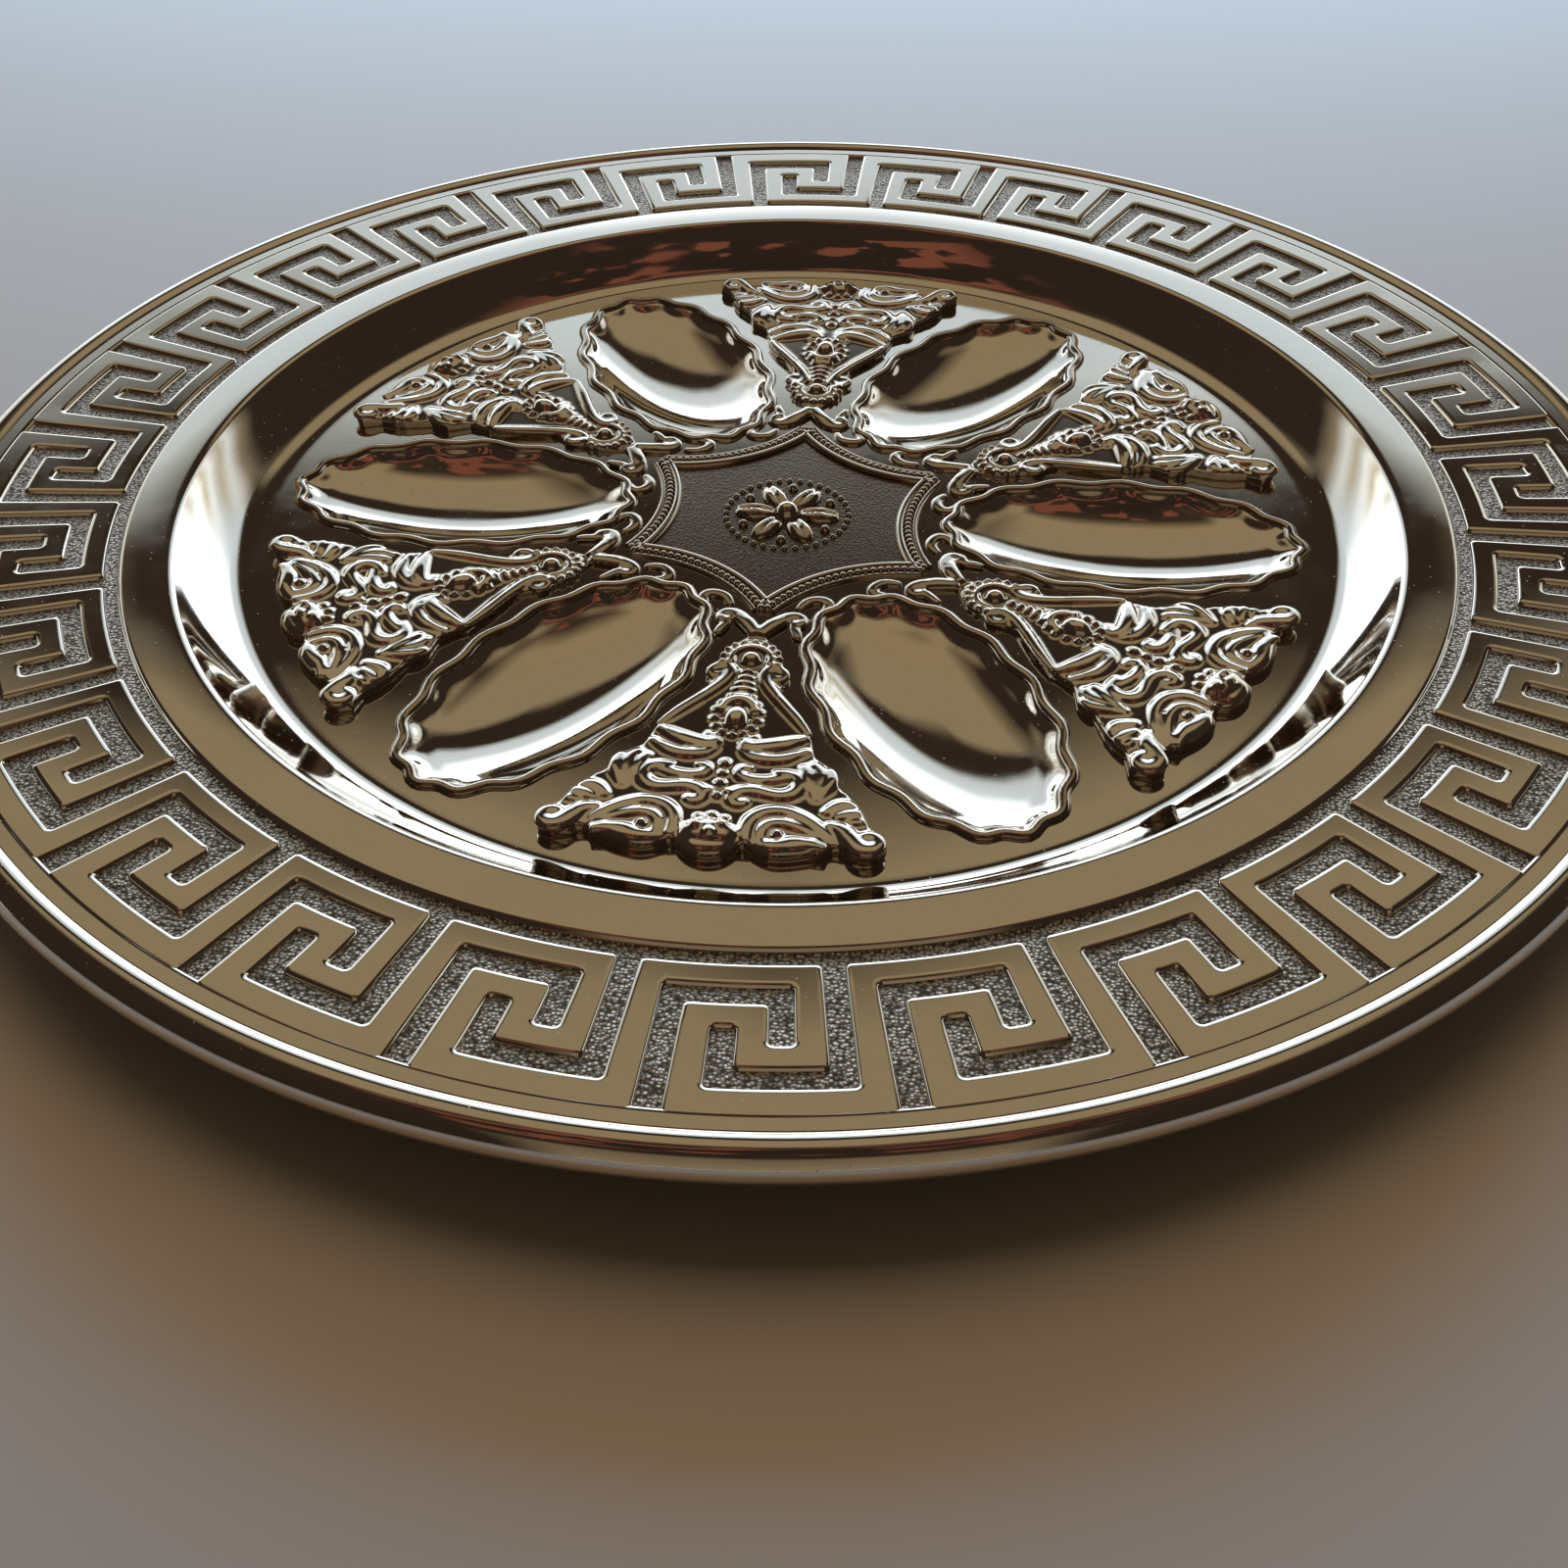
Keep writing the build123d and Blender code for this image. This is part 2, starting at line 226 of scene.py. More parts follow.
def area_light(name, place, size, watts, colour):
    deselect()
    bpy.ops.object.light_add(type="AREA", location=turn @ Vector(place))
    lamp = bpy.context.object
    lamp.name = name
    lamp.data.shape = "RECTANGLE"
    lamp.data.size, lamp.data.size_y = size
    lamp.data.energy = watts
    lamp.data.color = linear(colour)[:3]
    lamp.rotation_euler = (-lamp.location).to_track_quat("-Z", "Y").to_euler()
    lamp.visible_glossy = False
    return lamp


window = area_light("window_light", (0.05, 0.85, 0.36), (1.3, 0.45), 10.4, "#A9D7FF")
ceiling = area_light("ceiling_light", (0, 0.45, 0.9), (1.0, 1.0), 3.3, "#FFD6AA")
print("lights:", window.data.energy, "W and", ceiling.data.energy, "W")

# %% [markdown]
# The plate lies on plain white paper, which only shows as a soft even tone. A plane is enough for it, a hair below
# the plate's feet, with a bump of fine fibres.

# %% Floor
deselect()
bpy.ops.mesh.primitive_plane_add(size=6, location=(0, 0, -0.1 * MM))
floor = bpy.context.object
floor.name = "paper_floor"
paper = bpy.data.materials.new("white_paper")
paper.use_nodes = True
sheet_tree = paper.node_tree
sheet_shader = sheet_tree.nodes["Principled BSDF"]
sheet_shader.inputs["Base Color"].default_value = linear("#DEDBD6")
sheet_shader.inputs["Roughness"].default_value = 0.6
sheet_place = add_node(sheet_tree, "ShaderNodeTexCoord")
fibres = add_node(sheet_tree, "ShaderNodeTexNoise", {"Vector": sheet_place.outputs["Object"], "Scale": 900.0})
sheet_bump = add_node(sheet_tree, "ShaderNodeBump", {"Height": fibres.outputs["Fac"], "Strength": 0.1,
                                                     "Distance": 0.05 * MM})
sheet_tree.links.new(sheet_bump.outputs[0], sheet_shader.inputs["Normal"])
floor.data.materials.append(paper)
floor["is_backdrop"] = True
print("floor at z", floor.location.z)

# %% [markdown]
# ## Finishes
# Mirror-polished silver plate: the bare parts of the sheet were buffed, so they are nearly a mirror, with finger
# smudges, faint waves from the press, hairline scratches and a little dust. The metal value is full and the colour
# is silver's pale warm grey. The smudges only change the roughness, which is what a finger does to a polished face.


# %% A start for every metal, and the mirror finish
def new_metal(name, colour, roughness):
    material = bpy.data.materials.new(name)
    material.use_nodes = True
    shader = material.node_tree.nodes["Principled BSDF"]
    shader.inputs["Base Color"].default_value = linear(colour)
    shader.inputs["Metallic"].default_value = 1
    shader.inputs["Roughness"].default_value = roughness
    return material, material.node_tree, shader


def per(size_mm):
    """The scale of a texture whose features are this many millimetres apart."""
    return 1 / (size_mm * MM)


mirror, tree, shader = new_metal("mirror_polished_silver_plate", "#E4E0D8", 0.05)
place = add_node(tree, "ShaderNodeTexCoord").outputs["Object"]
smudge = add_node(tree, "ShaderNodeTexNoise", {"Vector": place, "Scale": per(28), "Detail": 5.0, "Roughness": 0.65})
smudged = add_node(tree, "ShaderNodeMapRange", {0: smudge.outputs["Fac"], 1: 0.45, 2: 0.75, 3: 0.035, 4: 0.13})
dust = add_node(tree, "ShaderNodeTexVoronoi", {"Vector": place, "Scale": per(2.2)})
speck = add_node(tree, "ShaderNodeMapRange", {0: dust.outputs["Distance"], 1: 0.055, 2: 0.075, 3: 0.55, 4: 0.0})
rough = add_node(tree, "ShaderNodeMath", {0: smudged.outputs[0], 1: speck.outputs[0]}, operation="ADD")
tree.links.new(rough.outputs[0], shader.inputs["Roughness"])
wave = add_node(tree, "ShaderNodeTexNoise", {"Vector": place, "Scale": per(20), "Detail": 1.0})
press = add_node(tree, "ShaderNodeBump", {"Height": wave.outputs["Fac"], "Strength": 0.25, "Distance": 0.12 * MM})
stretch = add_node(tree, "ShaderNodeMapping", {0: place, "Rotation": (0, 0, 0.6), "Scale": (0.02, 1, 1)})
hairline = add_node(tree, "ShaderNodeTexNoise", {"Vector": stretch.outputs[0], "Scale": per(0.5), "Detail": 3.0})
scratch = add_node(tree, "ShaderNodeBump", {"Height": hairline.outputs["Fac"], "Strength": 0.05,
                                            "Distance": 0.02 * MM, "Normal": press.outputs[0]})
tree.links.new(scratch.outputs[0], shader.inputs["Normal"])
print("finish:", mirror.name)

# %% [markdown]
# Matted ground: between the keys the die was punched with small round dots, about 0.6 mm apart, and the metal there
# was left dull and a little blackened. Each dot is far too small to model, so a Voronoi pattern gives the bump and
# darkens the gaps between the dots.

# %% The stippled ground
stipple, tree, shader = new_metal("matted_oxidised_ground", "#8B8378", 0.34)
place = add_node(tree, "ShaderNodeTexCoord").outputs["Object"]
dots = add_node(tree, "ShaderNodeTexVoronoi", {"Vector": place, "Scale": per(0.62), "Randomness": 0.8})
tone = add_node(tree, "ShaderNodeValToRGB", {0: dots.outputs["Distance"]},
                stops=[(0.15, "#D9D7D4"), (0.7, "#5F5C59")])
tree.links.new(tone.outputs[0], shader.inputs["Base Color"])
dome = add_node(tree, "ShaderNodeMath", {0: 1.0, 1: dots.outputs["Distance"]}, operation="SUBTRACT")
punched = add_node(tree, "ShaderNodeBump", {"Height": dome.outputs[0], "Strength": 0.8, "Distance": 0.22 * MM})
tree.links.new(punched.outputs[0], shader.inputs["Normal"])
print("finish:", stipple.name)

# %% [markdown]
# The star's ground is punched less deep and is smoother, a dark brown half-gloss, and the underside of the sheet is as
# it left the press, a dull even silver. The raised ornament is bright like the sheet and a little rougher in its
# hollows,
# where painted shade darkens its colour: the lower a point lies above the floor, the darker it is painted.

# %% Satin ground, underside and relief
FLOOR_LEVEL = 7
FLOOR_TOP = FLOOR_LEVEL * MM
satin, tree, shader = new_metal("fine_matted_ground", "#94887A", 0.2)
place = add_node(tree, "ShaderNodeTexCoord").outputs["Object"]
grain = add_node(tree, "ShaderNodeTexVoronoi", {"Vector": place, "Scale": per(0.6)})
grained = add_node(tree, "ShaderNodeBump", {"Height": grain.outputs["Distance"], "Strength": 0.3,
                                            "Distance": 0.08 * MM})
tree.links.new(grained.outputs[0], shader.inputs["Normal"])

underside, tree, shader = new_metal("as_pressed_silver_plate", "#C9C5BD", 0.28)
place = add_node(tree, "ShaderNodeTexCoord").outputs["Object"]
cloud = add_node(tree, "ShaderNodeTexNoise", {"Vector": place, "Scale": per(14), "Detail": 4.0})
clouded = add_node(tree, "ShaderNodeMapRange", {0: cloud.outputs["Fac"], 1: 0.3, 2: 0.7, 3: 0.2, 4: 0.36})
tree.links.new(clouded.outputs[0], shader.inputs["Roughness"])

relief, tree, shader = new_metal("struck_silver_relief", "#E2DDD4", 0.08)
place = add_node(tree, "ShaderNodeTexCoord").outputs["Object"]
height = add_node(tree, "ShaderNodeSeparateXYZ", {0: place}).outputs["Z"]
patchy = add_node(tree, "ShaderNodeTexNoise", {"Vector": place, "Scale": per(3), "Detail": 3.0})
# painted shade: the relief's height, jittered by noise, sets how dark its colour is painted
jittered_height = add_node(tree, "ShaderNodeMath", {0: patchy.outputs["Fac"], 1: 1.2 * MM, 2: height},
                  operation="MULTIPLY_ADD")
low = add_node(tree, "ShaderNodeMapRange", {0: jittered_height.outputs[0], 1: FLOOR_TOP + 1.2 * MM, 2: FLOOR_TOP + 3.0 * MM})
# painted shade: darker colour low down in the relief's hollows, full bright silver on its tops
painted_hollow_shade = add_node(tree, "ShaderNodeValToRGB", {0: low.outputs[0]},
                   stops=[(0.0, "#BDB4A7"), (1.0, "#EAE6DF")])
tree.links.new(painted_hollow_shade.outputs[0], shader.inputs["Base Color"])
dulled = add_node(tree, "ShaderNodeMapRange", {0: low.outputs[0], 3: 0.12, 4: 0.05})
tree.links.new(dulled.outputs[0], shader.inputs["Roughness"])
print("finishes:", satin.name, underside.name, relief.name)

# %% [markdown]
# ## The dish
# A pressed dish is round, so its section can be drawn once and then spun about the axis: from the floor through a
# fillet up the hollow wall, over the lip and the flat band, down a small step to the border's ground, which rises
# towards the rim, up to a smooth ring and round the rolled edge. The section is drawn as by hand: one vertex, extruded
# from point to point. Two rings close together beside each flat keep the mirror flat right up to its edge.


# %% Helpers for picking and spinning
def only(piece):
    deselect()
    piece.select_set(True)
    bpy.context.view_layer.objects.active = piece


def edit_all(piece):
    only(piece)
    bpy.ops.object.mode_set(mode="EDIT")
    bpy.ops.mesh.select_mode(type="VERT")
    bpy.ops.mesh.select_all(action="SELECT")


def pick(piece, kind, test):
    """Go into edit mode with just the vertices, edges or faces selected whose middle passes a test."""
    edit_all(piece)
    bpy.ops.mesh.select_mode(type=kind)
    bpy.ops.mesh.select_all(action="DESELECT")
    bpy.ops.object.mode_set(mode="OBJECT")
    mesh = piece.data
    points = [v.co for v in mesh.vertices]
    items = {"VERT": mesh.vertices, "EDGE": mesh.edges, "FACE": mesh.polygons}[kind]
    for item in items:
        if kind == "FACE":
            item.select = bool(test(item.center, item))
        elif kind == "EDGE":
            item.select = bool(test((points[item.vertices[0]] + points[item.vertices[1]]) / 2, item))
        else:
            item.select = bool(test(item.co, item))
    bpy.ops.object.mode_set(mode="EDIT")


def one_vertex(name, point):
    deselect()
    bpy.ops.mesh.primitive_plane_add(size=MM)
    piece = bpy.context.object
    piece.name = name
    edit_all(piece)
    bpy.ops.mesh.merge(type="CENTER")
    bpy.ops.transform.translate(value=point)
    return piece


def draw_line(points):
    for a, b in zip(points, points[1:]):
        bpy.ops.mesh.extrude_vertices_move(TRANSFORM_OT_translate={"value": Vector(b) - Vector(a)})


def face_up(piece):
    """Make the normals agree, with most of the surface looking up."""
    edit_all(piece)
    bpy.ops.mesh.remove_doubles(threshold=0.001 * MM)
    bpy.ops.mesh.normals_make_consistent(inside=False)
    bpy.ops.object.mode_set(mode="OBJECT")
    if sum(face.normal.z * face.area for face in piece.data.polygons) < 0:
        edit_all(piece)
        bpy.ops.mesh.flip_normals()
        bpy.ops.object.mode_set(mode="OBJECT")


def join(pieces, name):
    deselect()
    for piece in pieces:
        piece.select_set(True)
    bpy.context.view_layer.objects.active = pieces[0]
    bpy.ops.object.join()
    pieces[0].name = name
    return pieces[0]


def modify(piece, kind, **settings):
    """Give a piece a modifier and apply it."""
    only(piece)
    modifier = piece.modifiers.new(kind.lower(), kind)
    for name, value in settings.items():
        setattr(modifier, name, value)
    bpy.ops.object.modifier_apply(modifier=modifier.name)


def flat_radius(point):
    return math.hypot(point.x, point.y)


# %% The dish's section, spun
BAND_TOP = 16.5
RING_RISE = 0.6  # the smooth ring outside the keys lies this far above their ground
GROUND_START, GROUND_END = (126.8, 15.6), (157.7, 16.95)
FILLET_CENTRE, FILLET_RADIUS = (104.27, 14.0), 7.0
WALL_CENTRE, WALL_RADIUS = (82.05, 44.58), 44.8
LIP_CENTRE, LIP_RADIUS = (117.9, 14.5), 2.0
ROLL_CENTRE, ROLL_RADIUS = (160.9, 15.1), 3.4
FOOT_LEAN, LIP_LEAN = 36, 50  # degrees of slope at the wall's foot and at its lip
ROUND_STEPS = 288
FLAT_RING = 102.0


def arc_points(centre, radius, first, last, steps):
    angles = [math.radians(first + (last - first) * k / steps) for k in range(steps + 1)]
    return [(centre[0] + radius * math.cos(a), centre[1] + radius * math.sin(a)) for a in angles]


def ground_height(radius):
    """The height of the border's ground in mm: it rises a little from the band to the rolled edge."""
    share = (radius - GROUND_START[0]) / (GROUND_END[0] - GROUND_START[0])
    return GROUND_START[1] + share * (GROUND_END[1] - GROUND_START[1])


section = [(FLAT_RING, FLOOR_LEVEL), (103.4, FLOOR_LEVEL)]
section += arc_points(FILLET_CENTRE, FILLET_RADIUS, -90, -90 + FOOT_LEAN, 10)
section += arc_points(WALL_CENTRE, WALL_RADIUS, -90 + FOOT_LEAN, -90 + LIP_LEAN, 8)[1:]
section += arc_points(LIP_CENTRE, LIP_RADIUS, 90 + LIP_LEAN, 90, 10)[1:]
section += [(118.4, BAND_TOP), (125.3, BAND_TOP), (125.7, 16.47), (125.95, 16.3), (126.1, 16.0), (126.35, 15.8)]
section += [(r, ground_height(r)) for r in (126.8, 127.4, 154.6, 155.1)]
section += [(r, ground_height(r) + RING_RISE - drop) for r, drop in ((155.5, 0.1), (155.9, 0), (156.4, 0), (158.4, 0))]
section += arc_points(ROLL_CENTRE, ROLL_RADIUS, 136, -45, 24)
section = [(r * MM, 0, z * MM) for r, z in section]
dish = one_vertex("dish_sheet", section[0])
draw_line(section)
bpy.ops.mesh.select_all(action="SELECT")
bpy.ops.mesh.spin(steps=ROUND_STEPS, angle=2 * math.pi, center=(0, 0, 0), axis=(0, 0, 1))
face_up(dish)
print("dish section of", len(section), "points, faces:", len(dish.data.polygons))

# %% [markdown]
# ## The six bowls
# Each bowl has an oval mouth with sixteen shallow lobes, which fade into a smooth bowl a few millimetres down. A
# circle primitive has the right number of points, and they are set on the wavy oval one by one, because no single
# operator draws that line. A bowl is a stack of such loops, each smaller, lower and less wavy, bridged one to the
# next, with the last drawn together to a point.

# %% One bowl
WELL_CENTRE = 66.2
WELL_HALF_LENGTH, WELL_HALF_WIDTH = 33.0, 17.8
WELL_LOBES = 16
WELL_RIPPLE = 0.6
WELL_DEPTH = 6.0
OUTLINE_POINTS = 128


def lobed_oval(name, part, spread, ripple, height):
    """A closed loop on a part of the bowl's oval, moved outwards by a spread and a ripple in mm."""
    deselect()
    bpy.ops.mesh.primitive_circle_add(vertices=OUTLINE_POINTS, radius=1)
    loop = bpy.context.object
    loop.name = name
    for vertex in loop.data.vertices:
        angle = math.atan2(vertex.co.y, vertex.co.x)
        out = spread + ripple * math.cos(WELL_LOBES * angle)
        x = math.cos(angle) * (WELL_HALF_LENGTH * part + out)
        y = math.sin(angle) * (WELL_HALF_WIDTH * part + out)
        vertex.co = Vector((WELL_CENTRE + x, y, height)) * MM
    return loop


LIP_PART, LIP_DROP = 0.94, 0.95
# each loop: its part of the oval, how far below the floor it lies, and its ripple
loops = [(1.0, 0.0, WELL_RIPPLE), (0.985, 0.16, WELL_RIPPLE), (0.965, 0.5, 0.5), (LIP_PART, LIP_DROP, 0.3),
         (0.91, 1.42, 0.14)]
for part in (0.87, 0.81, 0.74, 0.66, 0.57, 0.47, 0.36, 0.25, 0.14, 0.05):
    drop = WELL_DEPTH - (WELL_DEPTH - LIP_DROP) * (part / LIP_PART) ** 2.2
    loops.append((part, drop, 0.3 * max(part - 0.74, 0)))
stack = [lobed_oval("bowl_margin", 1.0, 1.7, WELL_RIPPLE, FLOOR_LEVEL)]
stack += [lobed_oval("bowl_loop", part, 0, ripple, FLOOR_LEVEL - drop) for part, drop, ripple in loops]
well = stack[0]
for lower in stack[1:]:
    first_loop = len(well.data.vertices) - OUTLINE_POINTS
    well = join([well, lower], "bowl")
    pick(well, "VERT", lambda co, v: v.index >= first_loop)
    bpy.ops.mesh.bridge_edge_loops()
    bpy.ops.object.mode_set(mode="OBJECT")
pick(well, "VERT", lambda co, v: v.index >= len(well.data.vertices) - OUTLINE_POINTS)
bpy.ops.mesh.merge(type="CENTER")
face_up(well)
print("bowl faces:", len(well.data.polygons))

# %% [markdown]
# The bowl is copied six times round the centre and joined to the dish. The star's outline joins them as a bare loop
# of edges, so that the flat floor can be filled in around all seven shapes in one go, and the star filled by itself
# with its own satin finish. A Solidify modifier then gives the sheet its thickness, downwards.


# %% Copies round the centre
def turned_copy(piece, name, angle):
    only(piece)
    bpy.ops.object.duplicate(linked=False)
    copy = bpy.context.object
    copy.name = name
    copy.rotation_euler.z = angle
    bpy.ops.object.transform_apply(location=False, rotation=True, scale=False)
    return copy


STEP = math.radians(60)
wells = [well] + [turned_copy(well, f"bowl_{k}", k * STEP) for k in range(1, 6)]
print("bowls:", len(wells))

# %% The star's outline
STAR_TIP, STAR_WAIST = 32.0, 23.5
STAR_POINTS = 144
tip = Vector((STAR_TIP * math.cos(STEP / 2), STAR_TIP * math.sin(STEP / 2)))
BOW_CENTRE = (tip.length_squared - STAR_WAIST ** 2) / (2 * (tip.x - STAR_WAIST))
BOW_RADIUS = BOW_CENTRE - STAR_WAIST


def star_reach(angle):
    """How far the star's outline is from the centre, in mm, at an angle."""
    off = (angle + STEP / 2) % STEP - STEP / 2
    across = BOW_CENTRE * math.sin(off)
    return BOW_CENTRE * math.cos(off) - math.sqrt(BOW_RADIUS ** 2 - across ** 2)


deselect()
bpy.ops.mesh.primitive_circle_add(vertices=STAR_POINTS, radius=MM)
star_loop = bpy.context.object
for vertex in star_loop.data.vertices:
    angle = math.atan2(vertex.co.y, vertex.co.x)
    vertex.co = vertex.co.normalized() * star_reach(angle) * MM
    vertex.co.z = FLOOR_TOP
print("bow of the star's sides:", round(BOW_RADIUS, 1), "mm")

# %% Floor, finishes and thickness
dish = join([dish] + wells + [star_loop], "dish_sheet")
uses = {}
for face in dish.data.polygons:
    for edge_key in face.edge_keys:
        uses[edge_key] = uses.get(edge_key, 0) + 1
open_edges = {edge.key for edge in dish.data.edges if uses.get(edge.key, 0) < 2}


def on_star(co):
    return abs(flat_radius(co) - star_reach(math.atan2(co.y, co.x)) * MM) < 0.3 * MM


WALL_MIDDLE = 110.0
STIPPLE_FROM, STIPPLE_TO = 126.3, 155.2
pick(dish, "EDGE", lambda co, e: e.key in open_edges and flat_radius(co) < WALL_MIDDLE * MM)
bpy.ops.mesh.fill(use_beauty=False)
pick(dish, "EDGE", lambda co, e: e.key in open_edges and on_star(co))
bpy.ops.mesh.fill(use_beauty=False)
face_up(dish)
# three finishes for the upper skin, then one for each of them on the lower skin
for finish in (mirror, stipple, satin, underside, underside, underside):
    dish.data.materials.append(finish)
for face in dish.data.polygons:
    radius = flat_radius(face.center)
    if STIPPLE_FROM * MM < radius < STIPPLE_TO * MM:
        face.material_index = 1
    elif radius < star_reach(math.atan2(face.center.y, face.center.x)) * MM:
        face.material_index = 2
modify(dish, "SOLIDIFY", thickness=1 * MM, offset=-1, material_offset=3, material_offset_rim=3)
print("dish sheet faces:", len(dish.data.polygons))

# %% [markdown]
# Every finished piece is handed over in the same way: shaded smooth except at sharp edges, tied to the plate's one
# body, and the part of the CAD model that it stands for is hidden.


# %% Hand a finished piece to the frame
def hand_over(piece, node, angle):
    only(piece)
    bpy.ops.object.shade_smooth_by_angle(angle=math.radians(angle))
    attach(piece, "root")
    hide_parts(node)


hand_over(dish, "plate_body", 40)
print("handed over:", dish.name)

# %% [markdown]
# ## The Greek key border
# The border repeats one key 28 times. A key is a path through a grid of seven rows and eight columns, bent round the
# rim, with bars wider than the gaps between them. So a radial line is spun in fine steps to draw the grid of one key,
# the cells off the path are deleted, the rest becomes one face and its corners are rounded.

# %% One key: a grid, and the path through it
KEYS, COLUMNS, ROWS = 28, 8, 7
BAR_STEPS, GAP_STEPS = 3, 2
FRET_IN, FRET_OUT = 128.6, 155.7
BAR_ROW = 4.45
GAP_ROW = (FRET_OUT - FRET_IN - 4 * BAR_ROW) / 3
RAIL_OVERLAP = 0.8  # the outer rail runs on into the smooth ring
KEY_SUNK = 0.1
KEY_PHASE = math.radians(-0.75)
PATH = [(0, 0), (0, 6), (6, 6), (6, 2), (4, 2), (4, 4), (2, 4), (2, 0), (8, 0)]
cells = set()
for (c0, r0), (c1, r1) in zip(PATH, PATH[1:]):
    for k in range(max(abs(c1 - c0), abs(r1 - r0)) + 1):
        way_c, way_r = (c1 > c0) - (c1 < c0), (r1 > r0) - (r1 < r0)
        cells.add(((c0 + way_c * k) % COLUMNS, r0 + way_r * k))
KEY_STEPS = (BAR_STEPS + GAP_STEPS) * COLUMNS // 2
STEP_ANGLE = 2 * math.pi / (KEYS * KEY_STEPS)
START_ANGLE = KEY_PHASE - STEP_ANGLE * (BAR_STEPS / 2 + 1)
row_edges = [FRET_IN]
for k in range(ROWS):
    row_edges.append(row_edges[-1] + (GAP_ROW if k % 2 else BAR_ROW))
row_edges[-1] += RAIL_OVERLAP
spoke = [Vector((r * math.cos(START_ANGLE), r * math.sin(START_ANGLE), -KEY_SUNK)) * MM for r in row_edges]
keys = one_vertex("key_border", spoke[0])
draw_line(spoke)
bpy.ops.mesh.select_all(action="SELECT")
bpy.ops.mesh.spin(steps=KEY_STEPS, angle=KEY_STEPS * STEP_ANGLE, center=(0, 0, 0), axis=(0, 0, 1))
face_up(keys)


def steps_along(co):
    return ((math.atan2(co.y, co.x) - START_ANGLE) / STEP_ANGLE) % KEY_STEPS


def off_path(co, face):
    pair, within = divmod((math.floor(steps_along(co)) - 1) % KEY_STEPS, BAR_STEPS + GAP_STEPS)
    row = ROWS - sum(flat_radius(co) / MM > edge for edge in row_edges[:-1])
    return (2 * pair + (within >= BAR_STEPS), row) not in cells


pick(keys, "FACE", off_path)
bpy.ops.mesh.delete(type="FACE")
edit_all(keys)
bpy.ops.mesh.dissolve_faces()
bpy.ops.object.mode_set(mode="OBJECT")
print("key cells:", len(cells), "of", COLUMNS * ROWS, "in one face of", len(keys.data.vertices), "points")

# %% [markdown]
# A struck bar has no sharp corners. Bevelling single vertices rounds the outline, the outward corners more and the
# inward ones less, and the two ends stay square where one key runs on into the next.


# %% Round its corners
def corners_turning(way):
    """Vertices where the key's outline turns sharply to the left (1) or the right (-1), but not its two ends."""
    found = []
    ring = [keys.data.vertices[k] for k in keys.data.polygons[0].vertices]
    for before, here, after in zip(ring[-1:] + ring, ring, ring[1:] + ring[:1]):
        one, two = here.co - before.co, after.co - here.co
        inside = 0.5 < steps_along(here.co) < KEY_STEPS - 0.5
        if inside and one.cross(two).z * way > 0.7 * one.length * two.length:
            found.append(here.index)
    return found


CORNER_ROUNDING = {1: 1.15, -1: 0.6}
for way, offset in CORNER_ROUNDING.items():
    sharp = corners_turning(way)
    pick(keys, "VERT", lambda co, v: v.index in sharp)
    bpy.ops.mesh.bevel(offset=offset * MM, segments=4, affect="VERTICES")
    bpy.ops.object.mode_set(mode="OBJECT")
    print("rounded corners:", len(sharp), "to", offset, "mm")

# %% [markdown]
# The spin operator's duplicate option copies the key round the rim. All 28 are then extruded and inset together. Each
# inset rises as it narrows: first a steep flank, then a gentle shoulder, which is what shines white on every side
# that is turned to the window, and last a level strip, which keeps the top flat. In the end each key is leaned, as one
# plane, on the ground that rises to the rim.

# %% Copy the key, raise the bars, lean them on the ground
BAR_FOOT = 0.15
# flank, shoulder and level strip: how far each narrows the bar, and how far it rises
BAR_STAGES = ((0.3, 0.45), (0.6, 0.18), (0.1, 0))
edit_all(keys)
bpy.ops.mesh.spin(steps=KEYS - 1, angle=2 * math.pi * (KEYS - 1) / KEYS, center=(0, 0, 0), axis=(0, 0, 1), dupli=True)
face_up(keys)
edit_all(keys)
bpy.ops.mesh.extrude_region_move(TRANSFORM_OT_translate={"value": (0, 0, BAR_FOOT * MM)})
for narrow, rise in BAR_STAGES:
    bpy.ops.mesh.inset(thickness=narrow * MM, depth=rise * MM, use_even_offset=True)
bpy.ops.mesh.select_all(action="SELECT")
bpy.ops.mesh.normals_make_consistent(inside=False)
bpy.ops.object.mode_set(mode="OBJECT")
KEY_TURN = 2 * math.pi / KEYS
middle_angle = START_ANGLE - STEP_ANGLE * KEY_STEPS / 2
for vertex in keys.data.vertices:
    turns = round((math.atan2(vertex.co.y, vertex.co.x) - middle_angle) / KEY_TURN)
    key_angle = middle_angle + turns * KEY_TURN
    out = vertex.co.x * math.cos(key_angle) + vertex.co.y * math.sin(key_angle)
    vertex.co.z += ground_height(out / MM) * MM
modify(keys, "BEVEL", width=0.12 * MM, segments=2, limit_method="ANGLE", angle_limit=math.radians(30))
keys.data.materials.append(mirror)
hand_over(keys, "meander_border", 60)
print("key border faces:", len(keys.data.polygons))

# %% [markdown]
# ## The wavy beads
# A rounded bead edges each bowl and follows its lobes. Turning the outline into a curve and giving the curve a round
# bevel makes a tube of even width all the way round, which an extrusion would not. The tube is then a mesh again,
# pressed a little flatter and sunk to its middle in the floor, and copied to the six bowls.

